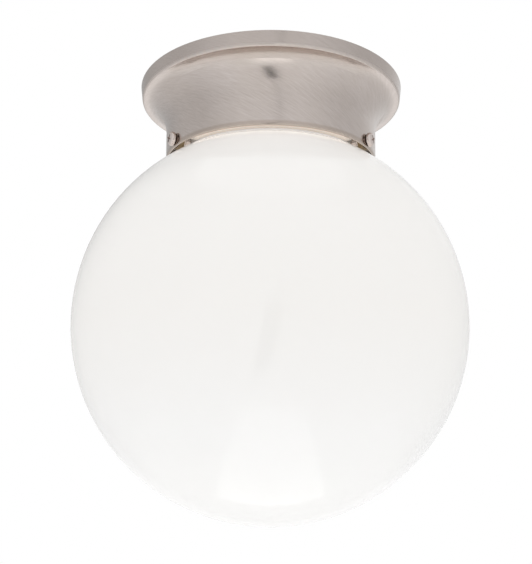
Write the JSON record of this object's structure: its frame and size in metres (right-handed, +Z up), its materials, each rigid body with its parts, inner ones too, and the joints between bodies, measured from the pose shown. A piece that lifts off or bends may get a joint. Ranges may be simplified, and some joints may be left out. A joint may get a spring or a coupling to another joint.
{
  "type": "ceiling light",
  "caption": "Flush ceiling light: opal glass globe held by set screws in a flared brushed nickel canopy, with a screw-base bulb in a porcelain lampholder on a round bracket.",
  "frame": {"origin": "centre of the canopy's rim and of the bracket's upper face, in the plane of the ceiling", "axes": "+Z up into the ceiling, -Y towards the viewer of the picture, so two of the three globe screws face forward left and right; the box screws lie along X"},
  "size_m": [0.2032, 0.2032, 0.228],
  "materials": {
    "zinc_plate": "zinc plated steel, dull bright",
    "zinc_screw": "zinc plated steel screw, bright",
    "green_screw": "green dyed zinc",
    "brushed_nickel": "brushed nickel plate, satin with fine lines",
    "white_enamel": "white stove enamel, gloss",
    "glass_fibre_pad": "matted glass fibre",
    "black_nylon": "moulded nylon",
    "white_porcelain": "glazed porcelain",
    "socket_brass": "stamped brass",
    "plated_terminal": "nickel plated brass",
    "frosted_glass": "inside frosted bulb glass",
    "bulb_aluminium": "rolled aluminium cap",
    "black_glass": "black vitrite glass",
    "solder_tip": "soft solder",
    "clear_glass": "clear glass",
    "tungsten": "drawn tungsten wire",
    "opal_glass": "cased opal glass, gloss",
    "nickel_screw": "nickel plated steel screw, bright"
  },
  "bodies": {
    "bracket": {"mounting_plate": "zinc_plate", "hanging_screws": "zinc_screw", "ground_screw": "green_screw"},
    "canopy": {"canopy_shell": "brushed_nickel", "weld_nuts": "zinc_plate", "lamp_plate": "white_enamel", "insulation_pad": "glass_fibre_pad", "lead_bushing": "black_nylon", "socket_body": "white_porcelain", "socket_shell": "socket_brass", "centre_contact": "socket_brass", "line_terminal": "socket_brass", "neutral_terminal": "plated_terminal", "line_terminal_screw": "socket_brass", "neutral_terminal_screw": "plated_terminal", "socket_screws": "zinc_screw", "socket_nuts": "zinc_plate"},
    "globe": {"globe": "opal_glass"},
    "retaining_screw_left": {"retaining_screw_left": "nickel_screw"},
    "retaining_screw_right": {"retaining_screw_right": "nickel_screw"},
    "retaining_screw_rear": {"retaining_screw_rear": "nickel_screw"},
    "bulb_carriage": {"bulb_contact": "solder_tip"},
    "bulb": {"bulb_glass": "frosted_glass", "bulb_cap": "bulb_aluminium", "bulb_insulator": "black_glass", "bulb_stem": "clear_glass", "bulb_filament": "tungsten"}
  },
  "joints": [
    {"name": "canopy_twist", "type": "hinge", "parent": "bracket", "child": "canopy", "pos_m": [0, 0, 0], "axis": [0, 0, -1], "range_deg": [0, 14]},
    {"name": "globe_spin", "type": "hinge", "parent": "canopy", "child": "globe", "pos_m": [0, 0, -0.12635], "axis": [0, 0, 1], "continuous": true},
    {"name": "retaining_screw_left_slide", "type": "slide", "parent": "canopy", "child": "retaining_screw_left", "axis": [-0.866, -0.5, 0], "range_m": [0, 0.0065]},
    {"name": "retaining_screw_right_slide", "type": "slide", "parent": "canopy", "child": "retaining_screw_right", "axis": [0.866, -0.5, 0], "range_m": [0, 0.0065]},
    {"name": "retaining_screw_rear_slide", "type": "slide", "parent": "canopy", "child": "retaining_screw_rear", "axis": [0, 1, 0], "range_m": [0, 0.0065]},
    {"name": "bulb_drop", "type": "slide", "parent": "canopy", "child": "bulb_carriage", "axis": [0, 0, -1], "range_m": [0, 0.01089]},
    {"name": "bulb_turn", "type": "hinge", "parent": "bulb_carriage", "child": "bulb", "pos_m": [0, 0, -0.1], "axis": [0, 0, -1], "range_deg": [0, 1080]}
  ],
  "couplings": [
    {"joint": "bulb_drop", "follows": "bulb_turn", "m_per_rad": 0.00057757}
  ]
}
